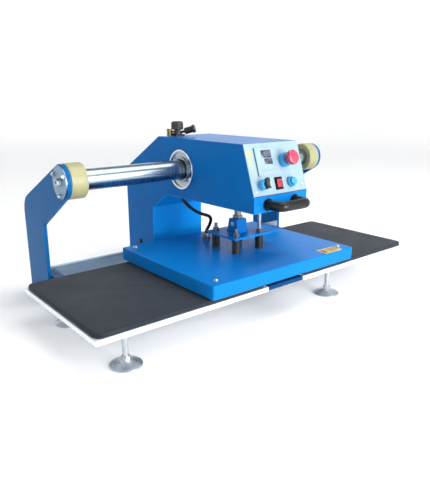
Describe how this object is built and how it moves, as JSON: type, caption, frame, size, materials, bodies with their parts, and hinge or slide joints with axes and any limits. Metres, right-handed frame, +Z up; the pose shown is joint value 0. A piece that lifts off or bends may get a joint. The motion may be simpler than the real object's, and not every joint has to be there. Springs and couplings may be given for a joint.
{
  "type": "double-station heat press",
  "caption": "Double-station pneumatic heat press: a hot platen on a carriage that slides along a chrome shaft between two padded aluminium beds.",
  "frame": {"origin": "on the plane under the levelling feet, midway between the two beds and midway along the depth of the machine", "axes": "+X along the guide shaft to the operator's right, +Y away from the operator, +Z up"},
  "size_m": [1.136, 0.709, 0.5037],
  "materials": {
    "blue_enamel": "glossy stoved enamel",
    "bed_aluminium": "milled",
    "pad_silicone": "matt silicone foam",
    "zinc_steel": "zinc plated",
    "hard_chrome": "ground and hard chromed",
    "urethane": "cast polyurethane, satin",
    "rail_steel": "light blue-grey coat",
    "dark_steel": "machined, oiled",
    "panel_film": "printed film overlay",
    "blue_plastic": "glossy",
    "black_plastic": "moulded",
    "black_rubber": "glossy sleeve",
    "red_plastic": "glossy",
    "brass": "turned"
  },
  "bodies": {
    "base": {"base_frame": "blue_enamel", "bed_plate_left": "bed_aluminium", "bed_plate_right": "bed_aluminium", "press_pad_left": "pad_silicone", "press_pad_right": "pad_silicone", "bed_bolts": "zinc_steel", "end_plate_left": "blue_enamel", "end_plate_right": "blue_enamel", "guide_shaft": "hard_chrome", "shaft_flanges": "hard_chrome", "flange_bolts": "zinc_steel", "bumpers": "urethane", "guide_rail": "rail_steel"},
    "carriage": {"side_plate_left": "blue_enamel", "side_plate_right": "blue_enamel", "top_cover": "blue_enamel", "underside_cover": "blue_enamel", "front_plate": "blue_enamel", "control_panel": "panel_film", "bearing_housing": "dark_steel", "linear_bushings": "dark_steel", "bushing_flanges": "hard_chrome", "air_cylinder": "bed_aluminium", "cylinder_mount": "dark_steel", "temperature_controller": "panel_film", "estop_collar": "blue_plastic", "switch_bezels": "blue_plastic", "rocker_frame": "black_plastic", "handle": "black_rubber", "air_regulator": "black_plastic", "air_fittings": "brass", "air_silencer": "black_plastic", "roller_bracket": "dark_steel", "roller_studs": "zinc_steel", "cable_grommet": "black_rubber", "power_inlet": "black_plastic", "solenoid_valve": "black_plastic", "heater_hose": "black_rubber"},
    "head": {"piston_rod": "hard_chrome", "rod_clevis": "blue_enamel", "clevis_pin": "hard_chrome", "link_plate": "blue_enamel", "guide_rod": "hard_chrome", "standoffs": "black_plastic", "standoff_nuts": "zinc_steel", "platen_cover": "blue_enamel", "heating_plate": "bed_aluminium", "heating_element": "dark_steel", "hose_gland": "zinc_steel"},
    "foot_fl": {"foot_front_left": "zinc_steel"},
    "foot_fr": {"foot_front_right": "zinc_steel"},
    "foot_rl": {"foot_rear_left": "zinc_steel"},
    "foot_rr": {"foot_rear_right": "zinc_steel"},
    "roller_f": {"rail_roller_front": "hard_chrome"},
    "roller_r": {"rail_roller_rear": "hard_chrome"},
    "estop": {"estop_button": "red_plastic"},
    "selector": {"selector_knob": "black_plastic"},
    "rocker": {"rocker_button": "red_plastic"},
    "button": {"push_button": "blue_plastic"},
    "regulator": {"regulator_knob": "black_plastic"}
  },
  "joints": [
    {"name": "head_traverse", "type": "slide", "parent": "base", "child": "carriage", "axis": [1, 0, 0], "range_m": [-0.31, 0.31]},
    {"name": "head_lift", "type": "slide", "parent": "carriage", "child": "head", "axis": [0, 0, 1], "range_m": [0, 0.038], "deforming": ["heater_hose"]},
    {"name": "front_roller_spin", "type": "hinge", "parent": "carriage", "child": "roller_f", "pos_m": [0, 0.1445, 0.063], "axis": [0, 0, 1], "continuous": true},
    {"name": "rear_roller_spin", "type": "hinge", "parent": "carriage", "child": "roller_r", "pos_m": [0, 0.1825, 0.063], "axis": [0, 0, 1], "continuous": true},
    {"name": "estop_press", "type": "slide", "parent": "carriage", "child": "estop", "axis": [0, 0.945, -0.3271], "range_m": [0, 0.005]},
    {"name": "selector_turn", "type": "hinge", "parent": "carriage", "child": "selector", "pos_m": [-0.065, -0.28501, 0.3584], "axis": [0, -0.945, 0.3271], "range_deg": [-45, 45]},
    {"name": "rocker_tip", "type": "hinge", "parent": "carriage", "child": "rocker", "pos_m": [-0.003, -0.28423, 0.35761], "axis": [-1, 0, 0], "range_deg": [0, 12]},
    {"name": "button_press", "type": "slide", "parent": "carriage", "child": "button", "axis": [0, 0.945, -0.3271], "range_m": [0, 0.004], "stiffness_N_per_m": 250, "springref_m": -0.004},
    {"name": "regulator_turn", "type": "hinge", "parent": "carriage", "child": "regulator", "pos_m": [-0.044, 0.1115, 0.48], "axis": [0, 0, 1], "range_deg": [-180, 180]},
    {"name": "foot_front_left_turn", "type": "hinge", "parent": "base", "child": "foot_fl", "pos_m": [-0.483, -0.2935, 0], "axis": [0, 0, 1], "range_deg": [-180, 180]},
    {"name": "foot_front_right_turn", "type": "hinge", "parent": "base", "child": "foot_fr", "pos_m": [0.213, -0.2935, 0], "axis": [0, 0, 1], "range_deg": [-180, 180]},
    {"name": "foot_rear_left_turn", "type": "hinge", "parent": "base", "child": "foot_rl", "pos_m": [-0.485, 0.0015, 0], "axis": [0, 0, 1], "range_deg": [-180, 180]},
    {"name": "foot_rear_right_turn", "type": "hinge", "parent": "base", "child": "foot_rr", "pos_m": [0.485, 0.0015, 0], "axis": [0, 0, 1], "range_deg": [-180, 180]}
  ],
  "couplings": [
    {"joint": "front_roller_spin", "follows": "head_traverse", "rad_per_m": 78.74},
    {"joint": "rear_roller_spin", "follows": "head_traverse", "rad_per_m": -78.74}
  ]
}
